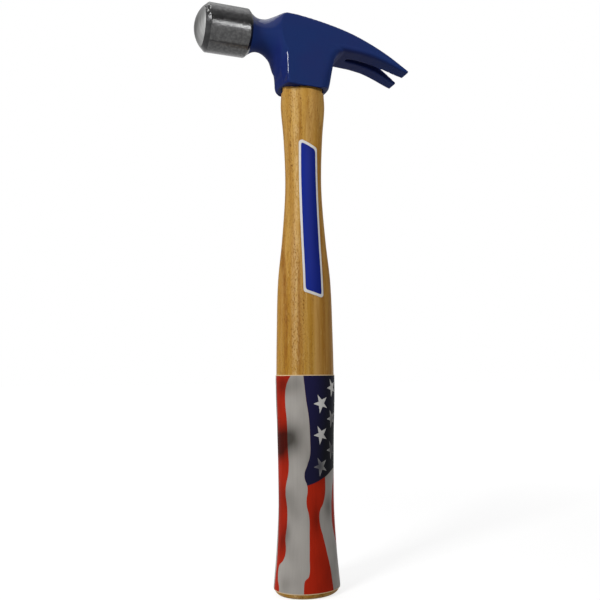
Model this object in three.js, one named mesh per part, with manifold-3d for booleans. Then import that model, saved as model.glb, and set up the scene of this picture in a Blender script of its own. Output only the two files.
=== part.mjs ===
// A rip hammer with a wooden handle, standing on its butt end.
// Millimetres. The origin is the centre of the flat butt end, +Z runs up the handle to the head,
// +X points to the claws and -X to the striking face.
import * as THREE from 'three';
import { mergeVertices } from 'three/addons/utils/BufferGeometryUtils.js';
import Module from 'manifold-3d';

// Handle: the long radii of its oval sections, from the butt up, and the spans between them
const HANDLE_OVAL = 0.815;
const BUTT_ROUND = 3.5;
const BUTT_RADIUS = 16.4;
const BUTT_FLARE_SPAN = 16;
const BUTT_FLARE_RADIUS = 15.1;
const GRIP_SPAN = 26;
const GRIP_RADIUS = 14.1;
const PALM_SPAN = 53.5;
const PALM_RADIUS = 15;
const TAPER_TOP_SPAN = 55;
const TAPER_TOP_RADIUS = 13.85;
const TAPER_FOOT_SPAN = 21;
const TAPER_FOOT_RADIUS = 11.75;
const THROAT_SPAN = 36;
const THROAT_RADIUS = 9.7;
const SHOULDER_SPAN = 38;
const SHOULDER_RADIUS = 11.9;
const COLLAR_SPAN = 6.3;
const COLLAR_RADIUS = 11.7;

// Head: the eye and the walls round it
const SEAT_GAP = 0.3;
const EYE_LENGTH = 22;
const EYE_WIDTH = 17.6;
const EYE_FLARE = 1;
const CHEEK_WALL = 2.8;
const FRONT_WALL = 3.15;
const REAR_WALL = 2.8;
const FRONT_LEAN = 1.65;
const REAR_LEAN = 2.4;
const REAR_FILLET = 7;
const PROW_FLAT = 6.6;
const PROW_BEVEL = 2.2;
const FACET_FOOT = 16.2;
const FACET_REACH = 5.6;
const FACET_DROP = 6.4;

// Head: the cheek's top, the neck, the poll and the crowned striking face
const HEAD_HEIGHT = 38.8;
const POLL_DROP = 9.6;
const POLL_RADIUS = 12.1;
const POLL_LENGTH = 20.5;
const POLL_SHOULDER = 3.7;
const FACE_CHAMFER = 2.5;
const FACE_RADIUS = 10;
const FACE_CROWN = 3.8;
const NECK_RADIUS = 8.3;
const NECK_LENGTH = 3.5;
const NECK_FLARE = 8.7;

// Head: the claws and the V slot between them
const CLAW_REACH = 44.3;
const CLAW_DROP = 22.6;
const CLAW_TOP_BULGE = 4.8;
const CLAW_THICKNESS = 16;
const CLAW_TIP = 0.8;
const CLAW_BEND = 0.48;
const SLOT_LENGTH = 33.2;
const SLOT_ROOT = 1.6;
const SLOT_MOUTH = 8;
const SLOT_BEVEL = 1.5;

// Wedges that spread the tenon in the eye
const TENON_CLEARANCE = 0.15;
const TENON_RECESS = 4;
const WEDGE_CLEARANCE = 0.12;
const WOOD_WEDGE_DEPTH = 25;
const WOOD_WEDGE_THICKNESS = 3;
const WOOD_WEDGE_EDGE = 0.8;
const STEEL_WEDGE_DEPTH = 14;
const STEEL_WEDGE_WIDTH = 10.5;
const STEEL_WEDGE_THICKNESS = 1.8;
const STEEL_WEDGE_EDGE = 0.5;
const STEEL_WEDGE_SPACING = 11;

// Grip film and label, both thin sheets on the wood
const SHEET_GAP = 0.08;
const FILM_THICKNESS = 0.25;
const FILM_FOOT = 0.2;
const FILM_LENGTH = 102.6;
const LABEL_THICKNESS = 0.2;
const LABEL_RISE = 42.5;
const LABEL_LENGTH = 75.5;
const LABEL_WIDTH = 10.6;
const LABEL_OFFSET = 0.9;
const LABEL_SLANT = 3.6;
const LABEL_CORNER = 1.4;

// Smoothness of the round forms
const OVAL_STEPS = 40;
const LATHE_STEPS = 48;
const HANDLE_STEPS = 32;
const ARC_STEPS = 8;

const wasm = await Module();
wasm.setup();

const PAINT = { color: 0x1d2c6b, roughness: 0.25, metalness: 0 };
const STEEL = { color: 0x6f7073, roughness: 0.4, metalness: 1 };
const HICKORY = { color: 0xb4853f, roughness: 0.35, metalness: 0 };
const WEDGE_WOOD = { color: 0x8a5f33, roughness: 0.6, metalness: 0 };
const LABEL_PRINT = { color: 0x232c86, roughness: 0.3, metalness: 0 };
const FILM_PRINT = { color: 0x9c2a20, roughness: 0.3, metalness: 0 };

// Closed three.js geometry to a solid that can be joined and cut
function solid(geometry) {
  const bare = geometry.clone();
  bare.deleteAttribute('normal');
  bare.deleteAttribute('uv');
  const merged = mergeVertices(bare, 1e-5);
  const index = merged.index.array;
  const triangles = [];
  for (let i = 0; i < index.length; i += 3) {
    const [a, b, c] = index.slice(i, i + 3);
    if (a !== b && b !== c && c !== a) triangles.push(a, b, c);
  }
  return new wasm.Manifold(new wasm.Mesh({
    numProp: 3,
    vertProperties: new Float32Array(merged.attributes.position.array),
    triVerts: new Uint32Array(triangles),
  }));
}

// Solid to a named mesh of its own material
function piece(name, body, look) {
  const { vertProperties, triVerts } = body.getMesh();
  const geometry = new THREE.BufferGeometry();
  geometry.setAttribute('position', new THREE.BufferAttribute(vertProperties, 3));
  geometry.setIndex(new THREE.BufferAttribute(triVerts, 1));
  geometry.computeVertexNormals();
  const mesh = new THREE.Mesh(geometry, new THREE.MeshStandardMaterial(look));
  mesh.name = name;
  return mesh;
}

// Closed skin over a stack of rings that have as many points each, with flat ends
function loft(rings) {
  const count = rings[0].length;
  const positions = rings.flat().flatMap((point) => point.toArray());
  const index = [];
  for (let r = 0; r + 1 < rings.length; r += 1) {
    for (let i = 0; i < count; i += 1) {
      const a = r * count + i;
      const b = r * count + ((i + 1) % count);
      index.push(a, b, b + count, a, b + count, a + count);
    }
  }
  for (const [ring, turned] of [[0, true], [rings.length - 1, false]]) {
    const outline = rings[ring].map((point) => new THREE.Vector2(point.x, point.y));
    for (const [a, b, c] of THREE.ShapeUtils.triangulateShape(outline, [])) {
      const face = turned ? [a, c, b] : [a, b, c];
      index.push(...face.map((corner) => ring * count + corner));
    }
  }
  const geometry = new THREE.BufferGeometry();
  geometry.setAttribute('position', new THREE.Float32BufferAttribute(positions, 3));
  geometry.setIndex(index);
  return solid(geometry);
}

// Outline in X and Z, carried sideways through the middle plane to a full width along Y
function sideways(shape, width) {
  const geometry = new THREE.ExtrudeGeometry(shape, {
    depth: width,
    bevelEnabled: false,
    curveSegments: 2 * ARC_STEPS,
  });
  geometry.rotateX(Math.PI / 2);
  geometry.translate(0, width / 2, 0);
  return solid(geometry);
}

function oval(long, short, z) {
  return Array.from({ length: OVAL_STEPS }, (_, i) => {
    const angle = (2 * Math.PI * i) / OVAL_STEPS;
    return new THREE.Vector3(long * Math.cos(angle), short * Math.sin(angle), z);
  });
}

function polygon(points) {
  return new THREE.Shape(points.map(([x, y]) => new THREE.Vector2(x, y)));
}

// Handle's long radius along its height, as one smooth curve through the swells and waists
const stations = [
  [BUTT_ROUND, BUTT_RADIUS],
  [BUTT_FLARE_SPAN, BUTT_FLARE_RADIUS],
  [GRIP_SPAN, GRIP_RADIUS],
  [PALM_SPAN, PALM_RADIUS],
  [TAPER_TOP_SPAN, TAPER_TOP_RADIUS],
  [TAPER_FOOT_SPAN, TAPER_FOOT_RADIUS],
  [THROAT_SPAN, THROAT_RADIUS],
  [SHOULDER_SPAN, SHOULDER_RADIUS],
  [COLLAR_SPAN, COLLAR_RADIUS],
];
let height = 0;
const stationPoints = stations.map(([span, radius]) => {
  height += span;
  return new THREE.Vector2(height, radius);
});
const collarZ = height;
const handleCurve = new THREE.SplineCurve(stationPoints).getPoints(HANDLE_STEPS);

function handleRadius(z) {
  const last = handleCurve.length - 1;
  const after = Math.max(1, handleCurve.findIndex((point, i) => point.x >= z || i === last));
  const [low, high] = [handleCurve[after - 1], handleCurve[after]];
  return THREE.MathUtils.mapLinear(z, low.x, high.x, low.y, high.y);
}

function handleRing(z, offset) {
  const long = handleRadius(z);
  return oval(long + offset, long * HANDLE_OVAL + offset, z);
}

// Levels where the eye, tenon and wedges start and end
const headBase = collarZ + SEAT_GAP;
const headTop = headBase + HEAD_HEIGHT;
const tenonTop = headTop - TENON_RECESS;

function eyeRing(z, offset) {
  const flare = (EYE_FLARE * (z - headBase)) / HEAD_HEIGHT;
  return oval(EYE_LENGTH / 2 + flare + offset, EYE_WIDTH / 2 + flare + offset, z);
}

const tenon = loft([eyeRing(collarZ, -TENON_CLEARANCE), eyeRing(tenonTop, -TENON_CLEARANCE)]);

// Kerf and wooden wedge: a trapezium across Y, as long as the eye along X
function woodWedgeBlank(clearance, length) {
  const half = WOOD_WEDGE_THICKNESS / 2 + clearance;
  const edge = WOOD_WEDGE_EDGE / 2 + clearance;
  const foot = tenonTop - WOOD_WEDGE_DEPTH - clearance;
  const section = polygon([[-edge, foot], [edge, foot], [half, tenonTop], [-half, tenonTop]]);
  const geometry = new THREE.ExtrudeGeometry(section, { depth: length, bevelEnabled: false });
  geometry.rotateX(Math.PI / 2);
  geometry.rotateZ(Math.PI / 2);
  geometry.translate(-length / 2, 0, 0);
  return solid(geometry);
}

// Steel wedge, or its slot: a trapezium across X, driven through the wooden wedge
function steelWedgeBlank(side, clearance) {
  const half = STEEL_WEDGE_THICKNESS / 2 + clearance;
  const edge = STEEL_WEDGE_EDGE / 2 + clearance;
  const foot = tenonTop - STEEL_WEDGE_DEPTH - clearance;
  const x = (side * STEEL_WEDGE_SPACING) / 2;
  const section = polygon([[x - edge, foot], [x + edge, foot], [x + half, tenonTop], [x - half, tenonTop]]);
  return sideways(section, STEEL_WEDGE_WIDTH + 2 * clearance);
}

const steelSlots = steelWedgeBlank(-1, WEDGE_CLEARANCE).add(steelWedgeBlank(1, WEDGE_CLEARANCE));

function handle() {
  const rings = [];
  for (let i = 0; i < ARC_STEPS; i += 1) {
    const angle = (Math.PI / 2) * (i / ARC_STEPS);
    const inset = BUTT_ROUND * (1 - Math.sin(angle));
    const rise = BUTT_ROUND * (1 - Math.cos(angle));
    rings.push(oval(BUTT_RADIUS - inset, BUTT_RADIUS * HANDLE_OVAL - inset, rise));
  }
  rings.push(...handleCurve.map((point) => handleRing(point.x, 0)));
  const wood = loft(rings).add(tenon);
  const kerf = woodWedgeBlank(WEDGE_CLEARANCE, 2 * EYE_LENGTH);
  return piece('handle', wood.subtract(kerf).subtract(steelSlots), HICKORY);
}

function woodWedge() {
  const blank = woodWedgeBlank(0, 2 * EYE_LENGTH).intersect(tenon);
  return piece('wood_wedge', blank.subtract(steelSlots), WEDGE_WOOD);
}

function steelWedge(name, side) {
  return piece(name, steelWedgeBlank(side, 0), STEEL);
}

// Head's main places, measured from the handle's axis
const cheekWidth = EYE_WIDTH + 2 * CHEEK_WALL;
const frontX = EYE_LENGTH / 2 + FRONT_WALL;
const rearX = EYE_LENGTH / 2 + REAR_WALL;
const bevelX = frontX - PROW_BEVEL;
const flareX = frontX + FRONT_LEAN;
const pollZ = headTop - POLL_DROP;
const clawUnder = headTop - CLAW_THICKNESS;
const tipX = rearX + CLAW_REACH;
const tipZ = headTop - CLAW_DROP;

// Walls round the eye: a blunt prow in front, flat cheeks, and a rounded rear that fillets into the claws
function wallRing(z, front, rear) {
  const cheek = cheekWidth / 2;
  const roundCentre = rearX - EYE_WIDTH / 2;
  const ring = [
    new THREE.Vector3(-bevelX, cheek, z),
    new THREE.Vector3(-front, PROW_FLAT / 2, z),
    new THREE.Vector3(-front, -PROW_FLAT / 2, z),
    new THREE.Vector3(-bevelX, -cheek, z),
  ];
  for (let i = 0; i <= 2 * ARC_STEPS; i += 1) {
    const angle = (Math.PI / 2) * (i / ARC_STEPS - 1);
    const reach = (rear - roundCentre) * Math.cos(angle);
    ring.push(new THREE.Vector3(roundCentre + reach, cheek * Math.sin(angle), z));
  }
  return ring;
}

function eyeWalls() {
  const wallTop = clawUnder - REAR_FILLET;
  const rings = [wallRing(headBase, frontX, rearX)];
  for (let i = 0; i <= ARC_STEPS; i += 1) {
    const angle = (Math.PI / 2) * (i / ARC_STEPS);
    const z = wallTop + REAR_FILLET * Math.sin(angle);
    rings.push(wallRing(z, flareX, rearX + REAR_LEAN + REAR_FILLET * (1 - Math.cos(angle))));
  }
  return loft(rings);
}

// Crowned face, poll, neck and the flare into the cheeks, turned round the poll's axis
function turnedProfile() {
  const waistX = -flareX - NECK_FLARE;
  const pollRear = waistX - NECK_LENGTH - POLL_SHOULDER;
  const pollFront = pollRear - POLL_LENGTH;
  const faceX = pollFront - FACE_CHAMFER;
  const crown = (FACE_RADIUS ** 2 + FACE_CROWN ** 2) / (2 * FACE_CROWN);
  const rim = Math.asin(FACE_RADIUS / crown);
  const path = new THREE.Path();
  path.absarc(0, faceX - FACE_CROWN + crown, crown, -Math.PI / 2, rim - Math.PI / 2, false);
  path.lineTo(POLL_RADIUS, pollFront);
  path.lineTo(POLL_RADIUS, pollRear);
  path.quadraticCurveTo(NECK_RADIUS, pollRear + POLL_SHOULDER, NECK_RADIUS, waistX);
  path.absarc(NECK_RADIUS + NECK_FLARE, waistX, NECK_FLARE, Math.PI, Math.PI / 2, true);
  path.lineTo(NECK_RADIUS + NECK_FLARE, 0);
  path.lineTo(0, 0);
  return { points: path.getPoints(ARC_STEPS), waistX };
}

// Slanted facet that takes the flare's lower corner off, between the prow and one cheek
function facet(flare, side) {
  const cheek = (side * cheekWidth) / 2;
  const foot = new THREE.Vector3(-bevelX, cheek, headBase + FACET_FOOT);
  const top = new THREE.Vector3(-bevelX - FACET_REACH, cheek, pollZ);
  const prow = new THREE.Vector3(-flareX, (side * PROW_FLAT) / 2, headBase + FACET_DROP);
  const plane = new THREE.Plane().setFromCoplanarPoints(foot, top, prow);
  if (plane.normal.x < 0) plane.negate();
  return flare.trimByPlane(plane.normal.toArray(), -plane.constant);
}

function pollAndNeck() {
  const { points, waistX } = turnedProfile();
  const geometry = new THREE.LatheGeometry(points, LATHE_STEPS);
  geometry.rotateZ(-Math.PI / 2);
  geometry.translate(0, 0, pollZ);
  const turned = solid(geometry);
  const flareBox = polygon([[waistX, headBase], [-bevelX, headBase], [-bevelX, headTop], [waistX, headTop]]);
  const reach = 4 * POLL_RADIUS;
  const span = -waistX * 4;
  const pollBox = polygon([[-span, pollZ - reach], [waistX, pollZ - reach],
    [waistX, pollZ + reach], [-span, pollZ + reach]]);
  const poll = turned.intersect(sideways(pollBox, 2 * reach));
  const flare = turned.intersect(sideways(flareBox, cheekWidth));
  return poll.add(facet(facet(flare, 1), -1));
}

// Upper cheeks and claws in side view: one arc over the top, a level underside that bends to the tips
function clawBlank() {
  const start = new THREE.Vector2(-bevelX, headTop);
  const tip = new THREE.Vector2(tipX, tipZ);
  const middle = start.clone().lerp(tip, 0.5);
  const chord = tip.clone().sub(start);
  const across = new THREE.Vector2(-chord.y, chord.x).normalize();
  const crest = middle.addScaledVector(across, 2 * CLAW_TOP_BULGE);
  const shape = new THREE.Shape();
  shape.moveTo(start.x, clawUnder);
  shape.lineTo(rearX, clawUnder);
  shape.quadraticCurveTo(rearX + CLAW_REACH * CLAW_BEND, clawUnder, tip.x, tip.y - CLAW_TIP);
  shape.lineTo(tip.x, tip.y);
  shape.quadraticCurveTo(crest.x, crest.y, start.x, start.y);
  return sideways(shape, cheekWidth);
}

// V slot, wider on the underside so that its edges are bevelled toward the top
function slotBlank() {
  const mouthX = tipX + CLAW_TIP;
  const rootX = tipX - SLOT_LENGTH;
  const ring = (z, pull) => {
    const root = SLOT_ROOT / 2;
    const mouth = SLOT_MOUTH / 2 - pull;
    return [
      new THREE.Vector3(rootX + 2 * pull, -root, z),
      new THREE.Vector3(mouthX, -mouth, z),
      new THREE.Vector3(mouthX, mouth, z),
      new THREE.Vector3(rootX + 2 * pull, root, z),
    ];
  };
  return loft([ring(tipZ - CLAW_THICKNESS, 0), ring(tipZ, 0), ring(headTop + CLAW_TIP, SLOT_BEVEL)]);
}

function head() {
  const eye = loft([eyeRing(headBase - HEAD_HEIGHT, 0), eyeRing(headTop + HEAD_HEIGHT, 0)]);
  const forging = eyeWalls().add(pollAndNeck()).add(clawBlank());
  return piece('head', forging.subtract(eye).subtract(slotBlank()), PAINT);
}

// Film shrunk round the lower handle, from just above the butt's rounded edge
function gripFilm() {
  const foot = BUTT_ROUND + FILM_FOOT;
  const top = foot + FILM_LENGTH;
  const inner = handleCurve.filter((point) => point.x > foot && point.x < top).map((point) => point.x);
  const levels = [foot, ...inner, top];
  const skin = (offset) => loft(levels.map((z) => handleRing(z, offset)));
  const core = loft([BUTT_ROUND, ...levels, top + FILM_FOOT].map((z) => handleRing(z, SHEET_GAP)));
  return piece('grip_film', skin(SHEET_GAP + FILM_THICKNESS).subtract(core), FILM_PRINT);
}

// Slanted label with rounded corners, laid on the handle's side that faces -Y
function label() {
  const half = LABEL_WIDTH / 2;
  const foot = BUTT_ROUND + FILM_FOOT + FILM_LENGTH + LABEL_RISE;
  const corners = [
    new THREE.Vector2(LABEL_OFFSET - half, foot + LABEL_SLANT),
    new THREE.Vector2(LABEL_OFFSET + half, foot),
    new THREE.Vector2(LABEL_OFFSET + half, foot + LABEL_LENGTH),
    new THREE.Vector2(LABEL_OFFSET - half, foot + LABEL_LENGTH + LABEL_SLANT),
  ];
  const shape = new THREE.Shape();
  corners.forEach((corner, i) => {
    const toward = (other) => other.clone().sub(corner).setLength(LABEL_CORNER).add(corner);
    const start = toward(corners[(i + 3) % 4]);
    const end = toward(corners[(i + 1) % 4]);
    if (i === 0) shape.moveTo(start.x, start.y);
    else shape.lineTo(start.x, start.y);
    shape.quadraticCurveTo(corner.x, corner.y, end.x, end.y);
  });
  shape.closePath();
  const top = foot + LABEL_LENGTH + 2 * LABEL_SLANT;
  const inner = handleCurve.map((point) => point.x).filter((z) => z > foot - LABEL_SLANT && z < top);
  const levels = [foot - LABEL_SLANT, ...inner, top];
  const skin = (offset) => loft(levels.map((z) => handleRing(z, offset)));
  const sheet = skin(SHEET_GAP + LABEL_THICKNESS).subtract(skin(SHEET_GAP));
  const cutter = new THREE.ExtrudeGeometry(shape, { depth: 2 * BUTT_RADIUS, bevelEnabled: false });
  cutter.rotateX(Math.PI / 2);
  return piece('label', sheet.intersect(solid(cutter)), LABEL_PRINT);
}

const hammer = new THREE.Group();
hammer.add(
  head(),
  handle(),
  woodWedge(),
  steelWedge('steel_wedge_front', -1),
  steelWedge('steel_wedge_rear', 1),
  label(),
  gripFilm(),
);

export default hammer;
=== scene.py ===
import bisect
import math

import bmesh
import bpy
from mathutils import Matrix, Vector


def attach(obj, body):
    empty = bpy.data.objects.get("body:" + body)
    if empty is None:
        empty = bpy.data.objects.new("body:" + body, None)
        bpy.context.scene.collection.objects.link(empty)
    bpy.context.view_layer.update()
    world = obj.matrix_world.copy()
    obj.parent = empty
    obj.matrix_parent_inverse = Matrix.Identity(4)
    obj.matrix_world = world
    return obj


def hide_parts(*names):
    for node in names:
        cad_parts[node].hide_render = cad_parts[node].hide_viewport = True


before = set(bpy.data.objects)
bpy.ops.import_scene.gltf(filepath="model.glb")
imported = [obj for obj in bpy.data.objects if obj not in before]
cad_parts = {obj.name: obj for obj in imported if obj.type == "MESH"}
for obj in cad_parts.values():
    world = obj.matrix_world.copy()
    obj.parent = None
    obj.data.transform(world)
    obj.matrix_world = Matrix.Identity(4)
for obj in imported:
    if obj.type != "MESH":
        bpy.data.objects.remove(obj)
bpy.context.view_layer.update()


# Hickory handle
# One straight-grained hickory billet, turned on a copying lathe to an oval section, sanded and lacquered.
# Its top is a tenon, split by a saw kerf, that is driven up through the eye of the head.
MM = 0.001
HANDLE_OVAL = 0.815
HANDLE_OVAL_TOP = 0.885
FULLER_FROM = 232
FULLER_RUN = 20
HANDLE_STEPS = 96
BUTT_ROUND = 3.5
HANDLE_WIDTHS = [
    (3.5, 16.45), (10, 15.85), (19.5, 15.0), (38.9, 13.9), (54, 13.85), (77.8, 14.3), (99, 14.95),
    (129.7, 14.63), (154.5, 13.85), (175, 11.72), (196.7, 10.02), (211.5, 9.7), (232, 10.56),
    (247.5, 11.8), (255.3, 11.5),
]
TENON_FOOT = 10.7
TENON_HEAD = 11.6
TENON_TOP = 290.4
TENON_OVERLAP = 5
KERFS = [
    ((0, 0, 277.9), (30, 3.3, 25.2)),
    ((-5.5, 0, 283.4), (2.1, 10.8, 14.2)),
    ((5.5, 0, 283.4), (2.1, 10.8, 14.2)),
]
WOOD_PALE = (0.475, 0.285, 0.078, 1)
WOOD_TAN = (0.38, 0.193, 0.021, 1)
WOOD_BROWN = (0.245, 0.1, 0.008, 1)
WOOD_BLUSH = (0.43, 0.218, 0.062, 1)
WOOD_PORE = (0.14, 0.052, 0.007, 1)
WOOD_SHEEN = (0.6, 0.415, 0.19, 1)
WOOD_RUST = (0.215, 0.075, 0.006, 1)
RING_SPACING = 0.0046
MINERAL_STREAKS = [
    (-0.0125, 0.0012, 0.1, 0.2, 0.95), (-0.0074, 0.0011, 0.1, 0.178, 0.85),
    (-0.0042, 0.001, 0.213, 0.258, 0.85), (0.0062, 0.0018, 0.1, 0.185, 0.5),
]


def half_width(z):
    """Half the handle's width along X at a height, in millimetres, on one smooth curve."""
    heights = [height for height, _ in HANDLE_WIDTHS]
    after = min(max(bisect.bisect(heights, z), 1), len(heights) - 1)

    def slope(i):
        low, high = HANDLE_WIDTHS[max(i - 1, 0)], HANDLE_WIDTHS[min(i + 1, len(heights) - 1)]
        return (high[1] - low[1]) / (high[0] - low[0])

    (z0, w0), (z1, w1) = HANDLE_WIDTHS[after - 1], HANDLE_WIDTHS[after]
    span = z1 - z0
    t = min(max((z - z0) / span, 0), 1)
    rise = (2 * t - 3) * t * t
    return (
        w0 * (1 + rise)
        - w1 * rise
        + span * slope(after - 1) * t * (1 - t) ** 2
        - span * slope(after) * t * t * (1 - t)
    )


def skin_width(z):
    """Half the handle's width along X with the rounded butt, in millimetres."""
    if z >= BUTT_ROUND:
        return half_width(z)
    return HANDLE_WIDTHS[0][1] - BUTT_ROUND + math.sqrt(BUTT_ROUND ** 2 - (BUTT_ROUND - z) ** 2)


def pressed(bm):
    """Makes a round turning as oval as the handle, which is fuller just under the head."""
    for vert in bm.verts:
        share = min(max((vert.co.z / MM - FULLER_FROM) / FULLER_RUN, 0), 1)
        vert.co.y *= HANDLE_OVAL + (HANDLE_OVAL_TOP - HANDLE_OVAL) * share * share * (3 - 2 * share)


def swept(profile, axis, centre, turns):
    """A profile in millimetres at each turn round an axis, joined row by row in the same order every run."""
    bm = bmesh.new()
    middle = Vector(centre)
    rows = []
    for turn in turns:
        swing = Matrix.Rotation(turn, 3, axis)
        rows.append([bm.verts.new((middle + swing @ (Vector(point) - middle)) * MM) for point in profile])
    for row, following in zip(rows, rows[1:]):
        for corners in zip(row, row[1:], following[1:], following):
            bm.faces.new(corners)
    return bm


def turned(profile, axis, centre, steps):
    """A profile in millimetres, turned once round an axis into a closed skin."""
    bm = swept(profile, axis, centre, [2 * math.pi * i / steps for i in range(steps + 1)])
    bmesh.ops.remove_doubles(bm, verts=bm.verts, dist=1e-6)
    bmesh.ops.recalc_face_normals(bm, faces=bm.faces)
    return bm


def combined(body, tool, operation):
    """The solid left when one closed skin joins, cuts or trims another."""
    solids = []
    for name, bm in (("body", body), ("tool", tool)):
        mesh = bpy.data.meshes.new(name)
        bm.to_mesh(mesh)
        bm.free()
        solids.append(bpy.data.objects.new(name, mesh))
        bpy.context.scene.collection.objects.link(solids[-1])
    saw = solids[0].modifiers.new("saw", "BOOLEAN")
    saw.object = solids[1]
    saw.operation = operation
    saw.solver = "EXACT"
    bpy.context.view_layer.update()
    result = bmesh.new()
    result.from_object(solids[0], bpy.context.evaluated_depsgraph_get())
    for solid in solids:
        bpy.data.meshes.remove(solid.data)
    return result


def block(centre, size):
    """A box in millimetres."""
    bm = bmesh.new()
    bmesh.ops.create_cube(bm, size=MM)
    bmesh.ops.scale(bm, vec=size, verts=bm.verts)
    bmesh.ops.translate(bm, vec=Vector(centre) * MM, verts=bm.verts)
    return bm


def fitted(bm, name, material, node, crease=None):
    """Makes a skin the piece that stands for a CAD node."""
    bmesh.ops.remove_doubles(bm, verts=bm.verts, dist=1e-7)
    mesh = bpy.data.meshes.new(name)
    bm.to_mesh(mesh)
    bm.free()
    mesh.shade_smooth()
    if crease:
        mesh.set_sharp_from_angle(angle=math.radians(crease))
    mesh.materials.append(material)
    made = bpy.data.objects.new(name, mesh)
    bpy.context.scene.collection.objects.link(made)
    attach(made, "root")
    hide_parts(node)


class Wire:
    """One socket of a node tree. Sums written with wires add the nodes that work them out."""

    def __init__(self, tree, socket=None):
        self.tree = tree
        self.socket = socket

    def node(self, kind, settings=(), sockets=(), output=0):
        """A new node: its settings first, then the values or wires of its sockets."""
        made = self.tree.nodes.new("ShaderNode" + kind)
        for name, value in dict(settings).items():
            if name == "curve":
                points = made.mapping.curves[0].points
                while len(points) < len(value):
                    points.new(1, 1)
                for point, place in zip(points, value):
                    point.location = place
                made.mapping.update()
            else:
                setattr(made, name, value)
        for name, value in dict(sockets).items():
            if isinstance(value, Wire):
                self.tree.links.new(value.socket, made.inputs[name])
            else:
                made.inputs[name].default_value = value
        return Wire(self.tree, made.outputs[output] if made.outputs else None)

    def maths(self, operation, first, second=0.0, third=0.0):
        return self.node("Math", {"operation": operation}, {0: first, 1: second, 2: third})

    def __add__(self, other):
        return self.maths("ADD", self, other)

    def __sub__(self, other):
        return self.maths("SUBTRACT", self, other)

    def __mul__(self, other):
        return self.maths("MULTIPLY", self, other)

    def __truediv__(self, other):
        return self.maths("DIVIDE", self, other)

    def __rsub__(self, other):
        return self.maths("SUBTRACT", other, self)

    __radd__ = __add__
    __rmul__ = __mul__

    def within(self, low, high):
        """0 below low, 1 above high, and a soft rise between."""
        reach = {"Value": self, "From Min": low, "From Max": high}
        return self.node("MapRange", {"interpolation_type": "SMOOTHSTEP"}, reach)

    def tint(self, off, on):
        """A colour that goes from off to on as this wire goes from 0 to 1."""
        return self.node("Mix", {"data_type": "RGBA"}, {0: self, 6: off, 7: on}, 2)

    def part(self, axis):
        return self.node("SeparateXYZ", (), {0: self}, axis)

    def stretched(self, *scale):
        return self.node("VectorMath", {"operation": "MULTIPLY"}, {0: self, 1: scale})

    def noise(self, *scale, detail=2.0, roughness=0.5):
        grain = {"Vector": self.stretched(*scale), "Scale": 1.0, "Detail": detail, "Roughness": roughness}
        return self.node("TexNoise", (), grain)


def new_material(name):
    """A material's empty tree, and the wire of the place on the piece."""
    material = bpy.data.materials.new(name)
    material.use_nodes = True
    material.node_tree.nodes.clear()
    start = Wire(material.node_tree)
    return material, start.node("TexCoord", (), (), "Object")


def surface(shader):
    shader.node("OutputMaterial", (), {"Surface": shader})


def lacquered_hickory():
    material, place = new_material("lacquered_hickory")
    sway = place.noise(30, 30, 9, detail=2.0) - 0.5
    across = place.part(0) + 0.061 + sway * 0.006
    deep = place.part(1) - 0.022
    ring = place.maths("SQRT", across * across + deep * deep) / RING_SPACING
    ring = ring + (place.noise(140, 140, 12, detail=3.0) - 0.5) * 1.1
    phase = place.maths("FRACT", ring)
    late = phase.within(0.3, 0.92) * (1 - phase.within(0.93, 1.0))
    early = (1 - phase.within(0.0, 0.16)) + phase.within(0.95, 1.0)
    broad = place.noise(230, 230, 8, detail=3.0).within(0.34, 0.68)
    blush = place.noise(120, 120, 5, detail=2.0).within(0.4, 0.66)
    fibre = place.noise(900, 900, 38, detail=4.0, roughness=0.65)
    fleck = place.noise(1000, 1000, 230, detail=3.0, roughness=0.6)
    dash = place.noise(2100, 2100, 800, detail=2.0, roughness=0.6).within(0.52, 0.66)
    patch = place.noise(80, 80, 14).within(0.42, 0.62)
    x, height = place.part(0), place.part(2)
    left = 1 - x.within(-0.007, 0.003)
    pore = dash * (early * 0.7 + patch * 0.35 + left * 0.4)
    # Painted highlight: a pale speckled streak at a fixed angle round the handle, where the key lamp glints
    # on the lacquer.
    angle = place.maths("ARCTAN2", x * HANDLE_OVAL, 0 - place.part(1))
    sheen = 1 - place.maths("ABSOLUTE", angle + 0.63).within(0.0, 0.2)
    sheen = sheen * (1 - dash) * fleck.within(0.35, 0.62)
    # Browner toward the +X side of the handle.
    heart = x.within(-0.006, 0.012)
    tone = broad.tint(WOOD_TAN, WOOD_PALE)
    tone = (blush * 0.5).tint(tone, WOOD_BLUSH)
    tone = (height.within(0.2, 0.25) * 0.35).tint(tone, WOOD_PALE)
    tone = (late * 0.3 + early * 0.3 + heart * 0.28).tint(tone, WOOD_BROWN)
    tone = (fibre.within(0.48, 0.74) * 0.6).tint(tone, WOOD_BROWN)
    for at, wide, low, high, depth in MINERAL_STREAKS:
        streak = 1 - place.maths("ABSOLUTE", x - at + sway * 0.004).within(0.0, wide)
        streak = streak * height.within(low, low + 0.02) * (1 - height.within(high - 0.025, high))
        tone = (streak * (fleck.within(0.35, 0.6) * 0.6 + 0.4) * depth).tint(tone, WOOD_RUST)
    tone = ((1 - fibre.within(0.28, 0.48)) * 0.35).tint(tone, WOOD_PALE)
    tone = (fleck.within(0.55, 0.72) * (left * 0.2 + 0.35)).tint(tone, WOOD_PALE)
    tone = (sheen * 0.5).tint(tone, WOOD_SHEEN)
    tone = (pore * 0.75).tint(tone, WOOD_PORE)
    relief = place.node(
        "Bump", (), {"Strength": 0.45, "Distance": 0.0002, "Height": fibre + fleck * 0.8 - pore * 0.8}
    )
    surface(place.node("BsdfPrincipled", (), {
        "Base Color": tone,
        "Roughness": 0.32 + fibre * 0.14,
        "Specular IOR Level": 0.06,
        "Normal": relief,
    }))
    return material


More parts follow.
